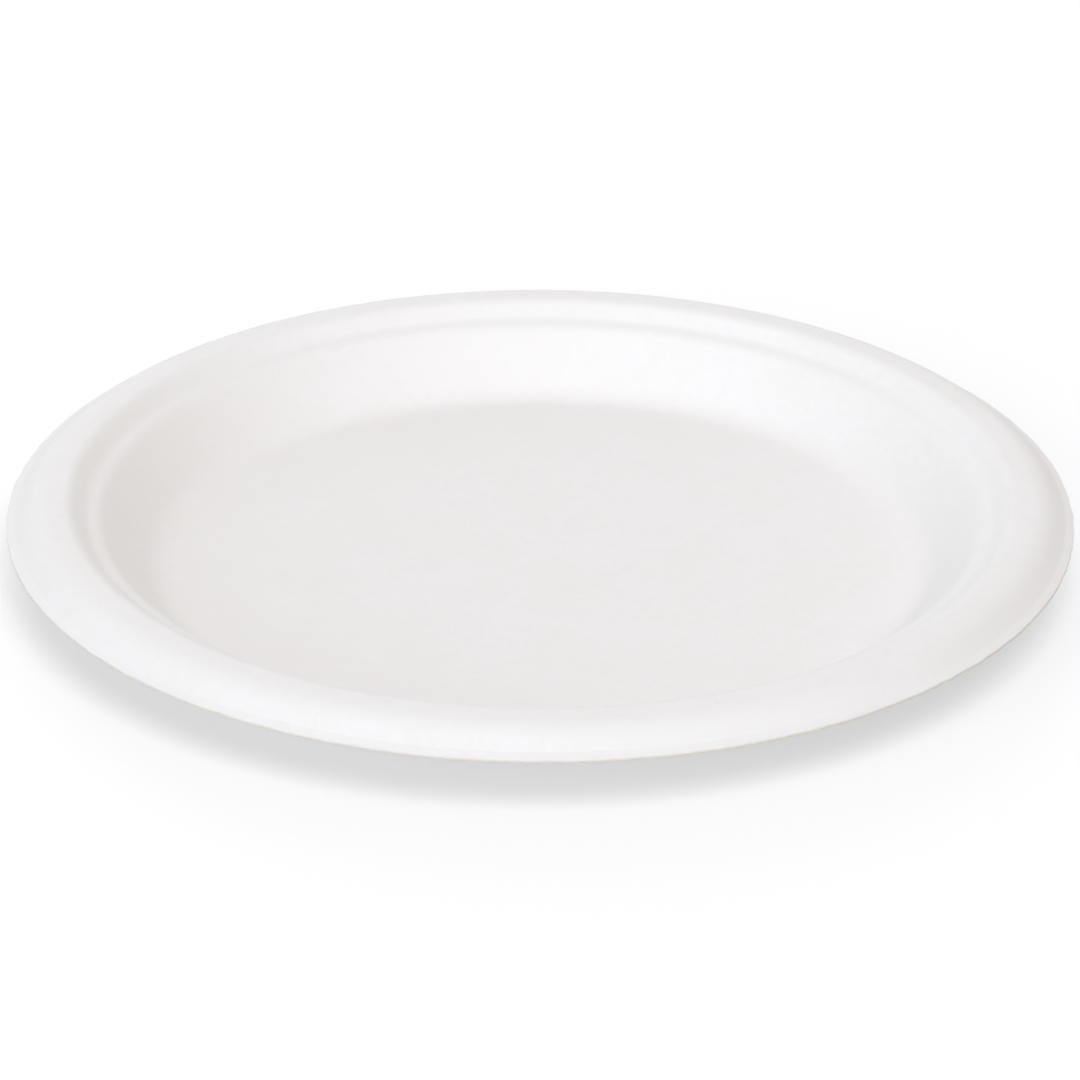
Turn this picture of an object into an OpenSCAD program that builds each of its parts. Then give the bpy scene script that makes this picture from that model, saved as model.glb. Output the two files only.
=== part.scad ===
// Round plate pressed from sugar cane fibre, as one thin shell of even thickness.
// One section is turned about the Z axis. From the middle outwards it is a flat floor,
// a sloping wall, a narrow ledge, a riser, a broad crest, an outer slope and a
// trimmed flange. The origin is the middle of the floor's underside, which it stands on.
// Lengths are in millimetres and slopes in degrees from level.

/* [Plate] */
// Diameter over the trimmed edge
plate_d = 230; // [150:1:330]
// Thickness of the shell, square to its surface
wall_t = 0.7; // [0.4:0.05:1]

/* [Well] */
// Height of the wall, from the floor's food side up to the ledge
well_h = 12.8; // [8:0.05:30]
// Slope of the wall
wall_slope = 47; // [30:0.5:65]
// Radius of the food side at the foot of the wall
wall_foot_r = 9; // [3:0.1:16]

/* [Ledge] */
// Width of the ledge that runs round above the wall
ledge_w = 2.8; // [1.2:0.1:6]
// Slope of the ledge, rising outwards
ledge_slope = 15.5; // [2:0.5:28]
// Radius of the food side at the top of the wall
wall_top_r = 5.1; // [1.4:0.1:6]
// Radius of the food side at the foot of the riser
riser_foot_r = 4.5; // [0.5:0.1:6]

/* [Rim] */
// Height of the riser, from the ledge to the crest
riser_h = 3.35; // [2.4:0.05:8]
// Slope of the riser
riser_slope = 42; // [35:0.5:80]
// Radius of the food side at the top of the riser
riser_top_r = 3.7; // [1.4:0.1:5]
// Width of the crest
crest_w = 7.5; // [5:0.05:14]
// Slope of the crest, falling outwards
crest_slope = 2.5; // [1:0.5:8]
// Radius of the food side at the top of the outer slope
fall_top_r = 7.8; // [2:0.1:12]
// Height that the outer slope falls
fall_h = 3.65; // [2:0.05:10]
// Slope of the outer slope, falling outwards
fall_slope = 41; // [30:0.5:60]

/* [Flange] */
// Width of the flange, from the outer slope to the trimmed edge
flange_w = 1.9; // [1:0.05:5]
// Slope of the flange, falling outwards
flange_slope = 24; // [0:1:28]
// Radius of the food side at the foot of the outer slope
fall_foot_r = 1.05; // [0.5:0.05:2]

/* [Hidden] */

pulp_colour = [0.925, 0.918, 0.914];
// Largest angle of one step of a rounded corner, and steps of the full turn
corner_step = 5;
turn_steps = 240;

edge_r = plate_d / 2;
wall_w = well_h / tan(wall_slope);
riser_w = riser_h / tan(riser_slope);
fall_w = fall_h / tan(fall_slope);
floor_w = edge_r - wall_w - ledge_w - riser_w - crest_w - fall_w - flange_w;

// The straight stretches of the section, from the axis to the edge, as width and slope
stretches = [
    [floor_w, 0],
    [wall_w, wall_slope],
    [ledge_w, ledge_slope],
    [riser_w, riser_slope],
    [crest_w, -crest_slope],
    [fall_w, -fall_slope],
    [flange_w, -flange_slope]
];
// The radius of the food side where each stretch meets the next
corner_radii = [wall_foot_r, wall_top_r, riser_foot_r, riser_top_r, fall_top_r, fall_foot_r];
last = len(stretches) - 1;

// Where stretch i starts on the food side, with sharp corners
function start(i) = i == 0 ? [0, wall_t] : start(i - 1) + across(i - 1) * along(slope(i - 1));
function slope(i) = stretches[i][1];
// Length of stretch i along its slope, with sharp corners
function across(i) = stretches[i][0] / cos(slope(i));
function along(a) = [cos(a), sin(a)];
function upward(a) = [-sin(a), cos(a)];

// The corner between stretch i and the next turns by this angle, upwards if positive
function turn(i) = slope(i + 1) - slope(i);
// A corner takes at most half of the shorter stretch beside it
function widest_r(i) = min(across(i), across(i + 1)) / 2 / tan(abs(turn(i)) / 2);
function corner_r(i) = min(corner_radii[i], widest_r(i));
function corner_start(i) = start(i + 1) - corner_r(i) * tan(abs(turn(i)) / 2) * along(slope(i));
function corner_centre(i) = corner_start(i) + sign(turn(i)) * corner_r(i) * upward(slope(i));

// The rounded corner, at a depth below the food side
function corner(i, depth) =
    let (steps = ceil(abs(turn(i)) / corner_step))
    [for (k = [0 : steps])
        let (a = slope(i) + turn(i) * k / steps)
        corner_centre(i) - (sign(turn(i)) * corner_r(i) + depth) * upward(a)];

// The trimmed edge is upright, so both sides of the shell end at the same radius
function edge_point(depth) = [edge_r, start(last)[1] - flange_w * tan(flange_slope) - depth / cos(flange_slope)];

// One side of the shell, from the axis to the edge
function side(depth) = [
    [0, wall_t - depth],
    for (i = [0 : last - 1]) each corner(i, depth),
    edge_point(depth)
];
function reversed(points) = [for (i = [len(points) - 1 : -1 : 0]) points[i]];

// The shell between the food side and the underside
module plate() {
    color(pulp_colour)
        rotate_extrude($fn = turn_steps)
            polygon(concat(side(wall_t), reversed(side(0))));
}

plate();
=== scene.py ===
import math

import bpy
import numpy as np
from bpy.props import FloatProperty, FloatVectorProperty, IntProperty, PointerProperty
from bpy.types import NodeSocket, Operator, Panel, PropertyGroup
from mathutils import Euler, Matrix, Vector


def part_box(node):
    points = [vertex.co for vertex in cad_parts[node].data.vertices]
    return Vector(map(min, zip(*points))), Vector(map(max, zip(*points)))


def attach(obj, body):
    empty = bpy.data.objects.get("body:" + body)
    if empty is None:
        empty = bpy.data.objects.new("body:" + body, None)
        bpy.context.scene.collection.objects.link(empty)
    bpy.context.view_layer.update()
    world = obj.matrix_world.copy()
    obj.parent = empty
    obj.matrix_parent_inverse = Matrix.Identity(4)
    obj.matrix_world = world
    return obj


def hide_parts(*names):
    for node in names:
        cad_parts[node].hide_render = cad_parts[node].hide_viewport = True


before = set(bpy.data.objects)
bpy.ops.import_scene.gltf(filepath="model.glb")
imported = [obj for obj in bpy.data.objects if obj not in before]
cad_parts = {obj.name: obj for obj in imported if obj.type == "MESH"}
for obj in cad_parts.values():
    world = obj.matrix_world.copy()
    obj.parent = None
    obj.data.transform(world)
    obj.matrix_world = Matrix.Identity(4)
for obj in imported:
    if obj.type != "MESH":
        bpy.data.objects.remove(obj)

bl_info = {
    "name": "Moulded Pulp Plate",
    "version": (1, 0, 0),
    "blender": (4, 5, 0),
    "location": "3D View > Sidebar > Plate",
    "description": "Makes a round plate of moulded pulp, its finish, and a plain studio round it",
    "category": "Object",
}

MM = 0.001

# The section's points: widest step of an arc, and longest straight row on the floor and past it
ARC_STEP = math.radians(6)
FLOOR_ROW = 13 * MM
RIM_ROW = 4 * MM
# Widest step of the small corners of the trimmed edge
EASE_STEP = math.radians(24)
# Row beside the trimmed edge, which keeps the edge's tan, partly painted shade, off the two sides
EDGE_ROW = 0.25 * MM
# Points nearer than this are merged: those of the two poles, and those where the turn meets itself
MERGE_DISTANCE = 0.002 * MM
# The floor's depth below the plate, so that no two faces share a plane
FLOOR_GAP = 0.05 * MM
# The two sides are unwrapped as discs in opposite corners of the square, clear of each other:
# radius of the food side's disc, which takes the trimmed edge too, and the margin outside both
DISC_RADIUS = 0.284
DISC_MARGIN = 0.01

# Noises that make the rim sag and ripple and trim it, read round a circle of radius 1: scale, detail
# and distortion, and for patches the levels between which they go from nothing to full
SAG_PATCHES = (0.8, 1.0, 0.0, 0.3, 0.7)
RIPPLE_NOISE = (9.0, 1.0, 0.0)
TRIM_PATCHES = (26.0, 3.0, 0.0, 0.3, 0.75)
# The same for the pulp, with scales for each metre
CLOUD_PATCHES = (48, 3.0, 0.4, 0.35, 0.7)
FLOCK_PATCHES = (420, 2.0, 0.6, 0.3, 0.75)
GRAIN_NOISE = (1300, 3.0, 0.0)
TORN_NOISE = (1900, 3.0, 1.0)
# Middle level of a noise
NOISE_MIDDLE = 0.5

# Strands: scale of the noise they follow, and their width in it
LONG_STRANDS = (260, 0.012)
SHORT_STRANDS = (620, 0.022)
# Distortion of that noise, scale of the one that breaks strands up, as a share of its scale, and
# the levels between which they show
STRAND_DISTORTION = 1.2
BREAK_SCALE = 0.6
BREAK_RANGE = (0.54, 0.62)
# Specks: cells for each metre, radius, and share of the cells that hold one
LARGE_SPECKS = (55, 0.16 * MM, 0.35)
SMALL_SPECKS = (130, 0.09 * MM, 0.3)
# Share of a speck's radius inside which it has its full colour
SPECK_CORE = 0.5
# How much of the pulp's colour each mark covers where it is strongest
FLOCK_COVER = 0.06
STRAND_COVER = 0.15
SPECK_COVER = 0.55
# The trimmed edge's tan is partly the cut fibre's own colour and partly painted warm shade along its
# lower part
CUT_TAN_AND_SHADE_COVER = 0.95

# Height of the food side's relief, and how much of it strands, flocks and grain each raise
SMOOTH_RELIEF = 0.03 * MM
STRAND_RISE = 0.35
FLOCK_RISE = 0.4
GRAIN_RISE = 0.3
# Height of the grain on the underside, over the screen's print, and of the trimmed edge's relief
FIBRE_RELIEF = 0.03 * MM
TORN_RELIEF = 0.1 * MM
# Share of the screen's print that its ridges make, beside its rows that pass over and under
RIDGE_SHARE = 0.6
# Shares of the way down the trimmed edge: where its tan, partly the cut fibre's own and partly
# painted shade, starts and is full, and relief starts
CUT_TAN_AND_SHADE_RANGE = (0.2, 0.6)
TORN_START = 0.02
# Levels of the grain between which the roughness goes from its lowest to its highest
GRAIN_RANGE = (0.2, 0.8)
ROUGHNESS_RANGE = (0.78, 0.92)
SPECULAR_LEVEL = 0.3

# How much stronger than in the middle the light from below is at the far left
UNDER_LEAN = 0.5
# Width in millimetres of the sensor that the lens is given for, and corners of the round floor
SENSOR_WIDTH = 36
FLOOR_CORNERS = 128


def linear(*levels):
    """A colour's linear values, from the levels of 0 to 255 that a screen shows it at."""
    shares = [level / 255 for level in levels]
    return tuple(s / 12.92 if s <= 0.04045 else ((s + 0.055) / 1.055) ** 2.4 for s in shares)


def length(name, description, millimetres):
    return FloatProperty(
        name=name, description=description, default=millimetres * MM, unit="LENGTH", precision=5
    )


def angle(name, description, degrees):
    radians = math.radians(degrees)
    return FloatProperty(
        name=name, description=description, default=radians, unit="ROTATION", subtype="ANGLE"
    )


def number(name, description, default):
    return FloatProperty(name=name, description=description, default=default, precision=3)


def colour(name, description, *levels):
    return FloatVectorProperty(
        name=name, description=description, default=linear(*levels), subtype="COLOR", min=0, max=1
    )


class PlateForm(PropertyGroup):
    """Sizes of the plate's section, as the solid has them."""

    low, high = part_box("plate")
    over_edge = round((high[0] - low[0]) / MM, 2)

    diameter: length("Diameter", "Diameter over the trimmed edge", over_edge)
    thickness: length("Thickness", "Thickness of the shell, square to its surface", 0.7)
    wall_h: length("Wall Height", "Height of the wall above the floor's food side", 12.8)
    wall_slope: angle("Wall Slope", "Slope of the wall", 47)
    wall_foot_r: length("Wall Foot", "Radius at the foot of the wall", 9)
    wall_top_r: length("Wall Top", "Radius at the top of the wall", 5.1)
    ledge_w: length("Ledge Width", "Width of the ledge above the wall", 2.8)
    ledge_slope: angle("Ledge Slope", "Slope of the ledge, rising outwards", 15.5)
    riser_h: length("Riser Height", "Height of the riser, from the ledge to the crest", 3.35)
    riser_slope: angle("Riser Slope", "Slope of the riser", 42)
    riser_foot_r: length("Riser Foot", "Radius at the foot of the riser", 4.5)
    riser_top_r: length("Riser Top", "Radius at the top of the riser", 3.7)
    crest_w: length("Crest Width", "Width of the crest", 7.5)
    crest_slope: angle("Crest Slope", "Slope of the crest, falling outwards", 2.5)
    fall_h: length("Fall Height", "Height that the outer slope falls", 3.65)
    fall_slope: angle("Fall Slope", "Slope of the outer slope, falling outwards", 41)
    fall_top_r: length("Fall Top", "Radius at the top of the outer slope", 7.8)
    fall_foot_r: length("Fall Foot", "Radius at the foot of the outer slope", 1.05)
    flange_w: length("Flange Width", "Width of the flange, up to the trimmed edge", 1.9)
    flange_slope: angle("Flange Slope", "Slope of the flange, falling outwards", 24)
    edge_ease: length("Edge Ease", "Radius of the trimmed edge's two corners", 0.2)
    turn_steps: IntProperty(
        name="Turn Steps", description="Steps of the full turn", default=840, min=24
    )


class PressedFinish(PropertyGroup):
    """How far the pressed and dried plate departs from its mould."""

    rim_sag: length("Rim Sag", "Furthest that the rim has dropped as it dried", 0.3)
    flange_ripple: length("Flange Ripple", "Rise and fall of the flange along the edge", 0.07)
    trim_rough: length("Trim Roughness", "Furthest that the edge falls short of its circle", 0.24)
    seed: IntProperty(
        name="Seed", description="Seed of the sag, the ripple and the trimming", default=4
    )


class PulpFinish(PropertyGroup):
    """Colours of the fibre."""

    pale: colour("Pulp", "Colour of most of the fibre", 236, 234, 233)
    warm: colour("Warm Pulp", "Colour of the slightly yellower clouds", 235.5, 233.5, 231.5)
    strand: colour("Strand", "Colour of single strands in the surface", 222, 214, 200)
    speck: colour("Speck", "Colour of the few specks of bark", 150, 128, 98)
    # Painted shade: this tan is partly the cut fibre's own colour and partly painted warm shade
    # along the edge's lower part
    cut: colour("Cut Fibre And Painted Shade", "Colour of the trimmed edge, below its upper corner", 238, 225, 197)
    screen_pitch: length("Screen Pitch", "Pitch of the wire screen printed on the underside", 0.75)
    screen_depth: length("Screen Depth", "Depth of the wire screen's print", 0.05)


class Studio(PropertyGroup):
    """The camera, the lamps and the floor."""

    distance: length("Camera Distance", "Distance from the camera to the plate's middle", 1173)
    elevation: angle("Camera Elevation", "Angle of the camera above the floor", 26.24)
    tilt: angle("Camera Tilt", "Angle that the camera looks above the plate's middle", 0.18)
    roll: angle("Camera Roll", "Turn of the camera about its own line of sight", 0.30)
    lens: FloatProperty(
        name="Lens", description="Focal length on a 36 mm sensor", default=180.1, unit="CAMERA"
    )
    ambient: number("Ambient", "Level of the light from all round", 0.358)
    ambient_tint: colour("Ambient Tint", "Tint of the light from all round", 255, 250, 236)
    high: number("High Lamp", "Level of the high lamp in front", 0.572)
    high_tint: colour("High Tint", "Tint of the high lamp", 248, 248, 255)
    high_side: angle("High Side", "Angle of the high lamp to the left of the front", -14)
    high_rise: angle("High Rise", "Angle of the high lamp above the floor", 60)
    low: number("Low Lamp", "Level of the low lamp at the left of the front", 0.405)
    low_tint: colour("Low Tint", "Tint of the low lamp", 228, 239, 255)
    low_side: angle("Low Side", "Angle of the low lamp to the left of the front", 38)
    low_rise: angle("Low Rise", "Angle of the low lamp above the floor", 15)
    back: number("Back Lamp", "Level of the lamp behind the plate", 0.355)
    back_tint: colour("Back Tint", "Tint of the lamp behind the plate", 238, 243, 255)
    back_side: angle("Back Side", "Angle of the back lamp to the left of the front", 170)
    back_rise: angle("Back Rise", "Angle of the back lamp above the floor", 16)
    softness: angle("Softness", "Width of each lamp as the plate sees it", 40)
    floor_size: length("Floor Radius", "Radius of the pale floor", 6000)
    floor_shade: number("Floor Shade", "Share of its light that the floor shows", 0.5)
    floor_glow: number("Floor Glow", "Light added to what the floor shows, up to white", 0.52)
    floor_bounce: number("Floor Bounce", "Share of its light that the floor sends back", 0.65)
    underlight: number("Underlight", "Level of the light from below in views from below", 0.9)


class Tree:
    """A node tree that takes nodes with their inputs linked or set."""

    def __init__(self, tree):
        self.tree = tree

    def feed(self, socket, value):
        if isinstance(value, NodeSocket):
            self.tree.links.new(value, socket)
        else:
            socket.default_value = value

    def add(self, kind, inputs=None, **settings):
        """Adds a node. Settings come first, because some of them change the node's inputs."""
        node = self.tree.nodes.new(kind)
        for name, value in settings.items():
            setattr(node, name, value)
        for socket, value in (inputs or {}).items():
            self.feed(node.inputs[socket], value)
        return node

    def maths(self, operation, *values):
        node = self.tree.nodes.new("ShaderNodeMath")
        node.operation = operation
        for socket, value in zip(node.inputs, values):
            self.feed(socket, value)
        return node.outputs[0]

    def product(self, first, *others):
        for value in others:
            first = self.maths("MULTIPLY", first, value)
        return first

    def ramp(self, value, low, high, start=0.0, end=1.0):
        """Carries a value smoothly from start to end while it goes from low to high."""
        inputs = {"Value": value, "From Min": low, "From Max": high, "To Min": start, "To Max": end}
        return self.add("ShaderNodeMapRange", inputs, interpolation_type="SMOOTHSTEP").outputs[0]

    def noise(self, place, scale, detail, distortion):
        inputs = {"Vector": place, "Scale": scale, "Detail": detail, "Distortion": distortion}
        return self.add("ShaderNodeTexNoise", inputs).outputs["Fac"]

    def patches(self, place, scale, detail, distortion, low, high):
        """A noise that is nothing below the low level and full above the high one."""
        return self.ramp(self.noise(place, scale, detail, distortion), low, high)

    def mixed(self, factor, first, second):
        """Mixes two colours. The sockets go by number, because several of them share a name."""
        inputs = {0: factor, 6: first, 7: second}
        return self.add("ShaderNodeMix", inputs, data_type="RGBA").outputs[2]

    def between(self, factor, first, second):
        """Mixes two numbers."""
        return self.maths("MULTIPLY_ADD", factor, self.maths("SUBTRACT", second, first), first)


def along(slope):
    return np.array((math.cos(slope), math.sin(slope)))


def upward(slope):
    return np.array((-math.sin(slope), math.cos(slope)))


def stretches(form):
    """The straight stretches of the food side, from the axis to the edge, as width and slope."""
    outer = [
        (form.wall_h / math.tan(form.wall_slope), form.wall_slope),
        (form.ledge_w, form.ledge_slope),
        (form.riser_h / math.tan(form.riser_slope), form.riser_slope),
        (form.crest_w, -form.crest_slope),
        (form.fall_h / math.tan(form.fall_slope), -form.fall_slope),
        (form.flange_w, -form.flange_slope),
    ]
    floor_w = form.diameter / 2 - sum(width for width, _ in outer)
    return [(floor_w, 0.0)] + outer


def rows_to(start, end, longest):
    """Points after start and before end, evenly spaced along the straight line between them."""
    count = math.ceil(np.linalg.norm(end - start) / longest)
    return [start + (end - start) * k / count for k in range(1, count)]


def shell_side(form, depth):
    """One side of the shell, from the axis to the last corner, at a depth below the food side."""
    radii = (
        form.wall_foot_r,
        form.wall_top_r,
        form.riser_foot_r,
        form.riser_top_r,
        form.fall_top_r,
        form.fall_foot_r,
    )
    parts = stretches(form)
    points = [np.array((0.0, form.thickness - depth))]
    corner = np.array((0.0, form.thickness))
    longest = FLOOR_ROW
    for radius, (width, slope), (_, next_slope) in zip(radii, parts, parts[1:]):
        corner = corner + along(slope) * width / math.cos(slope)
        turn = next_slope - slope
        bend = math.copysign(radius, turn)
        centre = corner - along(slope) * radius * math.tan(abs(turn) / 2) + upward(slope) * bend
        steps = math.ceil(abs(turn) / ARC_STEP)
        slopes = [slope + turn * k / steps for k in range(steps + 1)]
        arc = [centre - upward(at) * (bend + depth) for at in slopes]
        points += rows_to(points[-1], arc[0], longest) + arc
        longest = RIM_ROW
    return points, corner


def eased(centre, radius, first, last):
    """An arc round a corner of the trimmed edge, clockwise between two directions."""
    steps = math.ceil((first - last) / EASE_STEP)
    return [centre + radius * along(first + (last - first) * k / steps) for k in range(steps + 1)]


def section(form):
    """The section's points, how far down the trimmed edge each is, and which one ends the edge."""
    food, corner = shell_side(form, 0.0)
    under, _ = shell_side(form, form.thickness)
    slope, ease = form.flange_slope, form.edge_ease
    radius = form.diameter / 2
    top = corner[1] - form.flange_w * math.tan(slope)
    face = form.thickness / math.cos(slope)
    square, sharp = math.pi / 2 - slope, math.pi / 2 + slope
    top_centre = np.array((radius - ease, top - ease * math.tan(square / 2)))
    low_centre = np.array((radius - ease, top - face + ease * math.tan(sharp / 2)))
    edge = eased(top_centre, ease, square, 0.0) + eased(low_centre, ease, 0.0, -sharp)
    before = edge[0] - along(-slope) * EDGE_ROW
    after = edge[-1] - along(-slope) * EDGE_ROW
    points = food + [before] + edge + [after] + under[::-1]
    down = [(top - point[1]) / face for point in edge]
    cut = [0.0] * (len(food) + 1) + down + [0.0] * (len(under) + 1)
    return np.array(points), np.clip(cut, 0, 1), len(food) + len(edge)


def section_object(form):
    """The section as a mesh line in the XZ plane, its length to the edge's end, and in all."""
    points, cut, fold = section(form)
    steps = np.linalg.norm(np.diff(points, axis=0), axis=1)
    travel = np.concatenate(([0.0], np.cumsum(steps)))
    mesh = bpy.data.meshes.new("plate")
    places = [(across, 0.0, up) for across, up in points]
    mesh.from_pydata(places, [(k, k + 1) for k in range(len(places) - 1)], [])
    for name, values in (("cut", cut), ("travel", travel)):
        mesh.attributes.new(name, "FLOAT", "POINT").data.foreach_set("value", values)
    piece = bpy.data.objects.new("plate_shell", mesh)
    bpy.context.collection.objects.link(piece)
    return piece, travel[fold], travel[-1]


def turned_tree():
    """Geometry nodes that turn a section about Z, and let the rim sag, ripple and be trimmed."""
    group = bpy.data.node_groups.new("Turned Plate", "GeometryNodeTree")
    face = group.interface
    face.new_socket(name="Geometry", in_out="INPUT", socket_type="NodeSocketGeometry")
    for name in ("Turn Steps", "Seed"):
        face.new_socket(name=name, in_out="INPUT", socket_type="NodeSocketInt")
    lengths = (
        "Radius", "Rim Start", "Flange Start", "Rim Sag", "Flange Ripple", "Trim Roughness", "Merge"
    )
    for name in lengths:
        face.new_socket(name=name, in_out="INPUT", socket_type="NodeSocketFloat")
    face.new_socket(name="Material", in_out="INPUT", socket_type="NodeSocketMaterial")
    face.new_socket(name="Geometry", in_out="OUTPUT", socket_type="NodeSocketGeometry")

    tree = Tree(group)
    given = tree.add("NodeGroupInput").outputs
    line = given["Geometry"]
    rows = tree.add("GeometryNodeAttributeDomainSize", {"Geometry": line}).outputs["Point Count"]
    columns = tree.maths("ADD", given["Turn Steps"], 1)
    counts = {"Vertices X": columns, "Vertices Y": rows}
    grid = tree.add("GeometryNodeMeshGrid", counts).outputs["Mesh"]
    index = tree.add("GeometryNodeInputIndex").outputs[0]
    column = tree.maths("FLOOR", tree.maths("DIVIDE", index, rows))
    row = tree.maths("SUBTRACT", index, tree.product(column, rows))

    def sampled(value, data_type):
        inputs = {"Geometry": line, "Value": value, "Index": row}
        return tree.add("GeometryNodeSampleIndex", inputs, data_type=data_type).outputs[0]

    turn = tree.product(tree.maths("DIVIDE", column, given["Turn Steps"]), math.tau)
    cosine, sine = tree.maths("COSINE", turn), tree.maths("SINE", turn)
    place = sampled(tree.add("GeometryNodeInputPosition").outputs[0], "FLOAT_VECTOR")
    place = tree.add("ShaderNodeSeparateXYZ", {0: place}).outputs
    across, up = place["X"], place["Z"]

    # The noise is read on a circle, so that it meets itself after a full turn
    parts = {"X": cosine, "Y": sine, "Z": given["Seed"]}
    circle = tree.add("ShaderNodeCombineXYZ", parts).outputs[0]
    on_rim = tree.ramp(across, given["Rim Start"], given["Radius"])
    on_flange = tree.ramp(across, given["Flange Start"], given["Radius"])
    slow = tree.patches(circle, *SAG_PATCHES)
    ripple = tree.maths("SUBTRACT", tree.noise(circle, *RIPPLE_NOISE), NOISE_MIDDLE)
    nibble = tree.patches(circle, *TRIM_PATCHES)
    sag = tree.product(on_rim, slow, given["Rim Sag"])
    lift = tree.product(on_flange, ripple, given["Flange Ripple"])
    short = tree.product(on_flange, nibble, given["Trim Roughness"])
    across = tree.maths("SUBTRACT", across, short)
    up = tree.maths("ADD", tree.maths("SUBTRACT", up, sag), lift)

    parts = {"X": tree.product(across, cosine), "Y": tree.product(across, sine), "Z": up}
    point = tree.add("ShaderNodeCombineXYZ", parts).outputs[0]
    shape = tree.add("GeometryNodeSetPosition", {"Geometry": grid, "Position": point}).outputs[0]
    for name in ("cut", "travel"):
        value = tree.add("GeometryNodeInputNamedAttribute", {"Name": name}, data_type="FLOAT")
        inputs = {"Geometry": shape, "Name": name, "Value": sampled(value.outputs[0], "FLOAT")}
        shape = tree.add("GeometryNodeStoreNamedAttribute", inputs, data_type="FLOAT").outputs[0]
    merged = {"Geometry": shape, "Distance": given["Merge"]}
    shape = tree.add("GeometryNodeMergeByDistance", merged).outputs[0]
    shape = tree.add("GeometryNodeFlipFaces", {"Mesh": shape}).outputs[0]
    smoothed = {"Geometry": shape, "Shade Smooth": True}
    shape = tree.add("GeometryNodeSetShadeSmooth", smoothed).outputs[0]
    shape = tree.add("GeometryNodeRealizeInstances", {"Geometry": shape}).outputs[0]
    coloured = {"Geometry": shape, "Material": given["Material"]}
    shape = tree.add("GeometryNodeSetMaterial", coloured).outputs[0]
    tree.add("NodeGroupOutput", {"Geometry": shape})
    return group


def turned(piece, values):
    """Turns the section's line into the plate's plain mesh, and takes the modifier off again."""
    modifier = piece.modifiers.new("turned", "NODES")
    modifier.node_group = turned_tree()
    for socket in modifier.node_group.interface.items_tree:
        if socket.in_out == "INPUT" and socket.name in values:
            modifier[socket.identifier] = values[socket.name]
    depsgraph = bpy.context.evaluated_depsgraph_get()
    mesh = bpy.data.meshes.new_from_object(piece.evaluated_get(depsgraph), depsgraph=depsgraph)
    piece.modifiers.remove(modifier)
    line = piece.data
    piece.data = mesh
    bpy.data.meshes.remove(line)
    mesh.name = "plate_shell"
    return mesh


def check_closed(mesh):
    """Raises an error unless the mesh is closed and its faces point outwards."""
    edges = np.empty(len(mesh.loops), int)
    mesh.loops.foreach_get("edge_index", edges)
    if np.any(np.bincount(edges, minlength=len(mesh.edges)) != 2):
        raise RuntimeError("The plate's mesh is open")
    mesh.calc_loop_triangles()
    triangles = np.empty(len(mesh.loop_triangles) * 3, int)
    mesh.loop_triangles.foreach_get("vertices", triangles)
    points = np.empty(len(mesh.vertices) * 3)
    mesh.vertices.foreach_get("co", points)
    a, b, c = np.moveaxis(points.reshape(-1, 3)[triangles.reshape(-1, 3)], 1, 0)
    if np.sum(a * np.cross(b, c)) <= 0:
        raise RuntimeError("The plate's faces point inwards")


def unwrap(mesh, fold, reach):
    """Lays the two sides flat as discs, parted at the trimmed edge's lower corner."""
    count = len(mesh.loops)
    travel = np.empty(len(mesh.vertices))
    mesh.attributes["travel"].data.foreach_get("value", travel)
    points = np.empty(len(mesh.vertices) * 3)
    mesh.vertices.foreach_get("co", points)
    points = points.reshape(-1, 3)
    corner = np.empty(count, int)
    mesh.loops.foreach_get("vertex_index", corner)
    sizes = np.empty(len(mesh.polygons), int)
    mesh.polygons.foreach_get("loop_total", sizes)
    starts = np.concatenate(([0], np.cumsum(sizes)[:-1]))
    middle = np.add.reduceat(travel[corner], starts) / sizes
    below = np.repeat(middle > fold, sizes)
    distance = np.where(below, reach - travel[corner], travel[corner])
    direction = np.arctan2(points[corner, 1], points[corner, 0])
    inset = DISC_RADIUS + DISC_MARGIN
    centre = np.where(below, 1 - inset, inset)
    radius = distance * DISC_RADIUS / fold
    across = centre + radius * np.cos(direction)
    up = centre + radius * np.sin(direction)
    places = np.stack((across, up), 1)
    layer = mesh.uv_layers.new(name="OFBake")
    layer.data.foreach_set("uv", places.ravel())


def strands(tree, place, scale, width):
    """Short thin strands: where a noise crosses its middle value, broken up by a wider noise."""
    line = tree.noise(place, scale, 0.0, STRAND_DISTORTION)
    line = tree.maths("ABSOLUTE", tree.maths("SUBTRACT", line, NOISE_MIDDLE))
    line = tree.ramp(line, 0.0, width, 1.0, 0.0)
    shown = tree.patches(place, scale * BREAK_SCALE, 0.0, 0.0, *BREAK_RANGE)
    return tree.product(line, shown)


def specks(tree, place, scale, radius, share):
    """Small specks, one in some of the cells of a cell pattern."""
    cells = tree.add("ShaderNodeTexVoronoi", {"Vector": place, "Scale": scale})
    draw = tree.add("ShaderNodeSeparateColor", {"Color": cells.outputs["Color"]}).outputs[0]
    reach = radius * scale
    spot = tree.ramp(cells.outputs["Distance"], reach * SPECK_CORE, reach, 1.0, 0.0)
    return tree.product(spot, tree.maths("LESS_THAN", draw, share))


def screen_print(tree, place, pitch):
    """Height of a woven wire screen's print, as crossing rows that pass over and under."""
    axes = tree.add("ShaderNodeSeparateXYZ", {0: place}).outputs
    wave = math.tau / pitch
    waves = [tree.maths("SINE", tree.product(axes[name], wave)) for name in "XY"]
    halves = [tree.maths("SINE", tree.product(axes[name], wave / 2)) for name in "XY"]
    ridges = tree.product(*waves, RIDGE_SHARE)
    return tree.maths("ADD", ridges, tree.product(*halves, 1 - RIDGE_SHARE))


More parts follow.
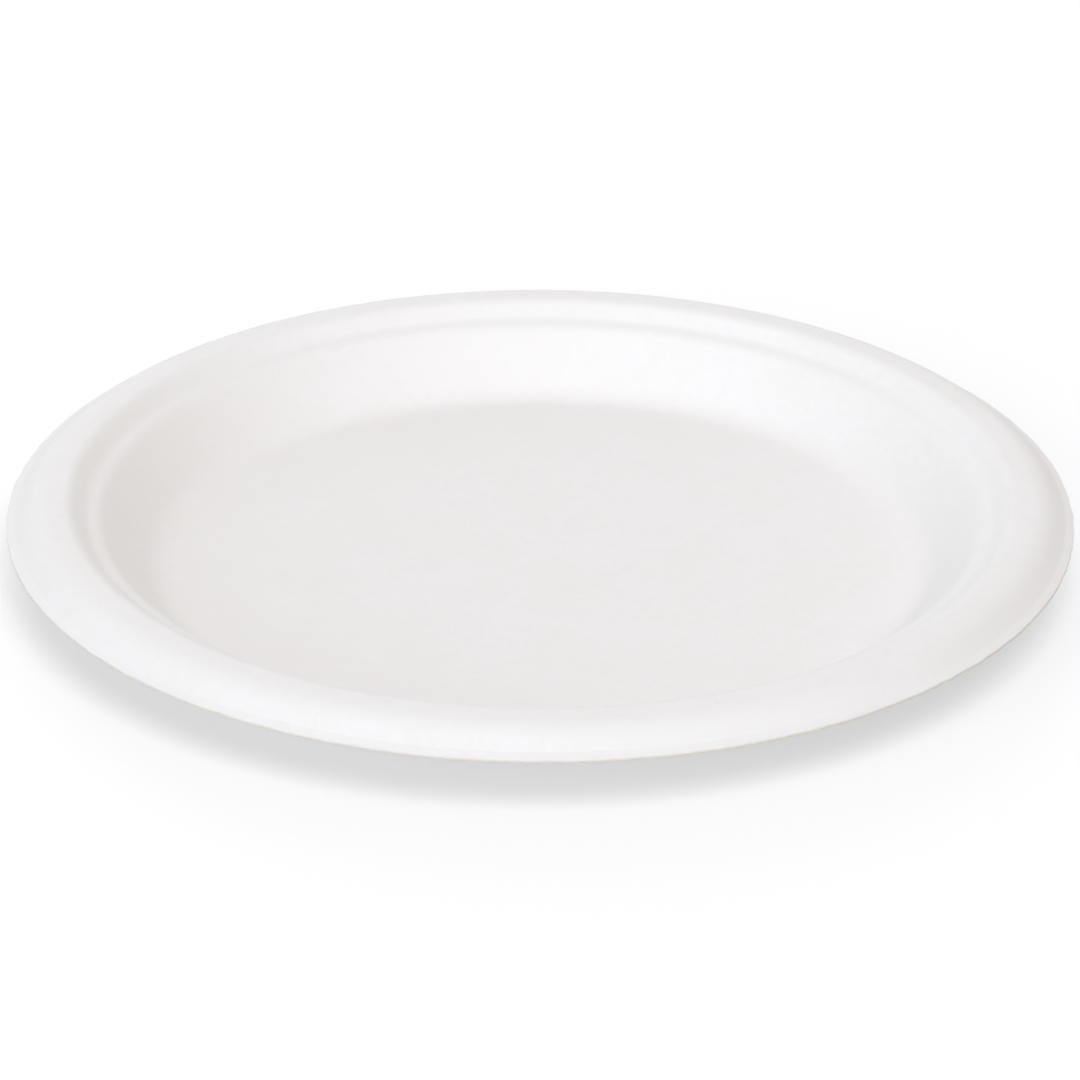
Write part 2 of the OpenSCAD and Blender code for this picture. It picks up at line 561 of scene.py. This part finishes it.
def pulp_material(look, fold):
    """Matt pressed fibre: clouded and smooth above, screen-printed below, warmer at the edge, partly
    painted shade.
    """
    material = bpy.data.materials.new("pulp")
    material.use_nodes = True
    tree = Tree(material.node_tree)
    material.node_tree.nodes.clear()
    place = tree.add("ShaderNodeTexCoord").outputs["Object"]
    cut = tree.add("ShaderNodeAttribute", attribute_name="cut").outputs["Fac"]
    travel = tree.add("ShaderNodeAttribute", attribute_name="travel").outputs["Fac"]
    below = tree.maths("GREATER_THAN", travel, fold)

    clouds = tree.patches(place, *CLOUD_PATCHES)
    grain = tree.noise(place, *GRAIN_NOISE)
    flocks = tree.patches(place, *FLOCK_PATCHES)
    long_ones = strands(tree, place, *LONG_STRANDS)
    short_ones = strands(tree, place, *SHORT_STRANDS)
    all_strands = tree.maths("MAXIMUM", long_ones, short_ones)
    large_bark = specks(tree, place, *LARGE_SPECKS)
    small_bark = specks(tree, place, *SMALL_SPECKS)
    bark = tree.maths("MAXIMUM", large_bark, small_bark)

    pulp = tree.mixed(clouds, (*look.pale, 1), (*look.warm, 1))
    pulp = tree.mixed(tree.product(flocks, FLOCK_COVER), pulp, (*look.strand, 1))
    pulp = tree.mixed(tree.product(all_strands, STRAND_COVER), pulp, (*look.strand, 1))
    pulp = tree.mixed(tree.product(bark, SPECK_COVER), pulp, (*look.speck, 1))
    # The trimmed edge's lower part gets a tan that is partly the cut fibre's own and partly painted
    # warm shade
    pulp = tree.mixed(tree.ramp(cut, *CUT_TAN_AND_SHADE_RANGE, 0.0, CUT_TAN_AND_SHADE_COVER), pulp, (*look.cut, 1))

    smooth = tree.maths("MULTIPLY_ADD", all_strands, STRAND_RISE, tree.product(grain, GRAIN_RISE))
    smooth = tree.maths("MULTIPLY_ADD", flocks, FLOCK_RISE, smooth)
    smooth = tree.product(smooth, SMOOTH_RELIEF)
    screen = tree.product(screen_print(tree, place, look.screen_pitch), look.screen_depth)
    screen = tree.maths("MULTIPLY_ADD", grain, FIBRE_RELIEF, screen)
    torn = tree.product(tree.noise(place, *TORN_NOISE), TORN_RELIEF)
    height = tree.between(below, smooth, screen)
    height = tree.between(tree.maths("GREATER_THAN", cut, TORN_START), height, torn)
    relief = {"Height": height, "Strength": 1.0, "Distance": 1.0}
    bump = tree.add("ShaderNodeBump", relief).outputs[0]

    surface = {
        "Base Color": pulp,
        "Roughness": tree.ramp(grain, *GRAIN_RANGE, *ROUGHNESS_RANGE),
        "Specular IOR Level": SPECULAR_LEVEL,
        "Normal": bump,
    }
    shader = tree.add("ShaderNodeBsdfPrincipled", surface).outputs[0]
    tree.add("ShaderNodeOutputMaterial", {"Surface": shader})
    return material


def seen_directly(tree):
    """One for what the camera sees, also in a reflection or through glass, and zero for light."""
    path = tree.add("ShaderNodeLightPath").outputs
    seen = tree.maths("MAXIMUM", path["Is Camera Ray"], path["Is Glossy Ray"])
    return tree.maths("MAXIMUM", seen, path["Is Transmission Ray"])


def seen_from_below(tree):
    """One once the line of sight has come up through the floor, and zero in views from above."""
    depth = tree.add("ShaderNodeLightPath").outputs["Transparent Depth"]
    return tree.maths("GREATER_THAN", depth, 0.5)


def floor_material(studio):
    """Pale matt floor that takes the plate's shadow, reads as white, and is clear from below."""
    material = bpy.data.materials.new("floor")
    material.use_nodes = True
    tree = Tree(material.node_tree)
    material.node_tree.nodes.clear()
    seen = seen_directly(tree)
    share = tree.between(seen, studio.floor_bounce, studio.floor_shade)
    matt = tree.add("ShaderNodeBsdfDiffuse", {"Color": share}).outputs[0]
    added = tree.product(seen, studio.floor_glow)
    glow = tree.add("ShaderNodeEmission", {"Color": (1, 1, 1, 1), "Strength": added}).outputs[0]
    lit = tree.add("ShaderNodeAddShader", {0: matt, 1: glow}).outputs[0]
    clear = tree.add("ShaderNodeBsdfTransparent").outputs[0]
    path = tree.add("ShaderNodeLightPath").outputs["Is Camera Ray"]
    back = tree.add("ShaderNodeNewGeometry").outputs["Backfacing"]
    below = tree.maths("MAXIMUM", tree.product(path, back), seen_from_below(tree))
    shader = tree.add("ShaderNodeMixShader", {0: below, 1: lit, 2: clear}).outputs[0]
    tree.add("ShaderNodeOutputMaterial", {"Surface": shader})
    return material


def add_floor(studio):
    """A round floor, a hair below the plate so that no two faces share a plane."""
    bpy.ops.mesh.primitive_circle_add(
        vertices=FLOOR_CORNERS, radius=studio.floor_size, fill_type="NGON"
    )
    floor = bpy.context.object
    floor.name = "floor"
    floor.location.z = -FLOOR_GAP
    floor.data.materials.append(floor_material(studio))


def add_world(studio):
    """Even light all round, white behind the plate, and light from below in views from below."""
    world = bpy.data.worlds.new("studio")
    world.use_nodes = True
    tree = Tree(world.node_tree)
    world.node_tree.nodes.clear()
    direction = tree.add("ShaderNodeTexCoord").outputs["Generated"]
    rightward = tree.add("ShaderNodeSeparateXYZ", {0: direction}).outputs["X"]
    leaning = tree.maths("MULTIPLY_ADD", rightward, -UNDER_LEAN, 1.0)
    under = tree.product(leaning, studio.underlight)
    below = seen_from_below(tree)
    level = tree.between(below, studio.ambient, under)
    tint = tree.mixed(below, (*studio.ambient_tint, 1), (1, 1, 1, 1))
    light = tree.add("ShaderNodeBackground", {"Color": tint, "Strength": level}).outputs[0]
    white = tree.add("ShaderNodeBackground", {"Color": (1, 1, 1, 1), "Strength": 1.0}).outputs[0]
    inputs = {0: seen_directly(tree), 1: light, 2: white}
    shader = tree.add("ShaderNodeMixShader", inputs).outputs[0]
    tree.add("ShaderNodeOutputWorld", {"Surface": shader})
    bpy.context.scene.world = world


def add_sun(studio, name):
    """A wide sun, from the settings named after it. A level of 1 lights facing white as white."""
    lamp = bpy.data.lights.new(name, "SUN")
    lamp.energy = getattr(studio, name) * math.pi
    lamp.color = getattr(studio, name + "_tint")
    lamp.angle = studio.softness
    sun = bpy.data.objects.new(name, lamp)
    tip = math.pi / 2 - getattr(studio, name + "_rise")
    sun.rotation_euler = Euler((tip, 0, -getattr(studio, name + "_side")), "XYZ")
    bpy.context.collection.objects.link(sun)


def add_camera(studio, lift):
    """The camera at the photograph's viewing angle, set back from a point at the lift's height."""
    camera = bpy.data.objects.new("camera", bpy.data.cameras.new("camera"))
    camera.data.lens = studio.lens
    camera.data.sensor_width = SENSOR_WIDTH
    rise = studio.elevation
    camera.location = Vector((0, -math.cos(rise), math.sin(rise))) * studio.distance
    camera.location.z += lift
    aim = Euler((math.pi / 2 - rise + studio.tilt, 0, 0)).to_matrix()
    roll = Euler((0, 0, studio.roll)).to_matrix()
    camera.rotation_euler = (aim @ roll).to_euler()
    bpy.context.collection.objects.link(camera)
    bpy.context.scene.camera = camera


class PLATE_OT_build_plate(Operator):
    """Turn the section into the plate and give it its pulp finish"""

    bl_idname = "plate.build_plate"
    bl_label = "Build Plate"
    bl_options = {"REGISTER", "UNDO"}

    def execute(self, context):
        form, pressed = context.scene.plate_form, context.scene.plate_pressed
        piece, fold, reach = section_object(form)
        radius = form.diameter / 2
        values = {
            "Turn Steps": form.turn_steps,
            "Seed": pressed.seed,
            "Radius": radius,
            "Rim Start": radius - sum(width for width, _ in stretches(form)[2:]),
            "Flange Start": radius - form.flange_w,
            "Rim Sag": pressed.rim_sag,
            "Flange Ripple": pressed.flange_ripple,
            "Trim Roughness": pressed.trim_rough,
            "Merge": MERGE_DISTANCE,
            "Material": pulp_material(context.scene.plate_pulp, fold),
        }
        mesh = turned(piece, values)
        check_closed(mesh)
        unwrap(mesh, fold, reach)
        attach(piece, "root")
        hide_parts("plate")
        return {"FINISHED"}


class PLATE_OT_build_studio(Operator):
    """Add the floor, the light all round, the three lamps and the camera"""

    bl_idname = "plate.build_studio"
    bl_label = "Build Studio"
    bl_options = {"REGISTER", "UNDO"}

    def execute(self, context):
        studio = context.scene.plate_studio
        context.scene.view_settings.view_transform = "Standard"
        add_floor(studio)
        add_world(studio)
        for name in ("high", "low", "back"):
            add_sun(studio, name)
        add_camera(studio, context.scene.plate_form.thickness)
        return {"FINISHED"}


class PLATE_PT_sidebar(Panel):
    """Sizes, finish and studio of the moulded plate"""

    bl_label = "Moulded Plate"
    bl_space_type = "VIEW_3D"
    bl_region_type = "UI"
    bl_category = "Plate"

    def draw(self, context):
        for operator, groups in STEPS:
            self.layout.operator(operator.bl_idname)
            for group in groups:
                box = self.layout.box()
                values = getattr(context.scene, group)
                for name in values.__annotations__:
                    box.prop(values, name)


# Each group of settings by its name on the scene, and the settings that each operator reads
GROUPS = {
    "plate_form": PlateForm,
    "plate_pressed": PressedFinish,
    "plate_pulp": PulpFinish,
    "plate_studio": Studio,
}
STEPS = (
    (PLATE_OT_build_plate, ("plate_form", "plate_pressed", "plate_pulp")),
    (PLATE_OT_build_studio, ("plate_studio",)),
)
CLASSES = (*GROUPS.values(), PLATE_OT_build_plate, PLATE_OT_build_studio, PLATE_PT_sidebar)


def register():
    for cls in CLASSES:
        bpy.utils.register_class(cls)
    for name, group in GROUPS.items():
        setattr(bpy.types.Scene, name, PointerProperty(type=group))


def unregister():
    for name in GROUPS:
        delattr(bpy.types.Scene, name)
    for cls in reversed(CLASSES):
        bpy.utils.unregister_class(cls)


def main():
    register()
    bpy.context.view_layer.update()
    bpy.ops.plate.build_plate()
    bpy.ops.plate.build_studio()


if __name__ == "__main__":
    main()
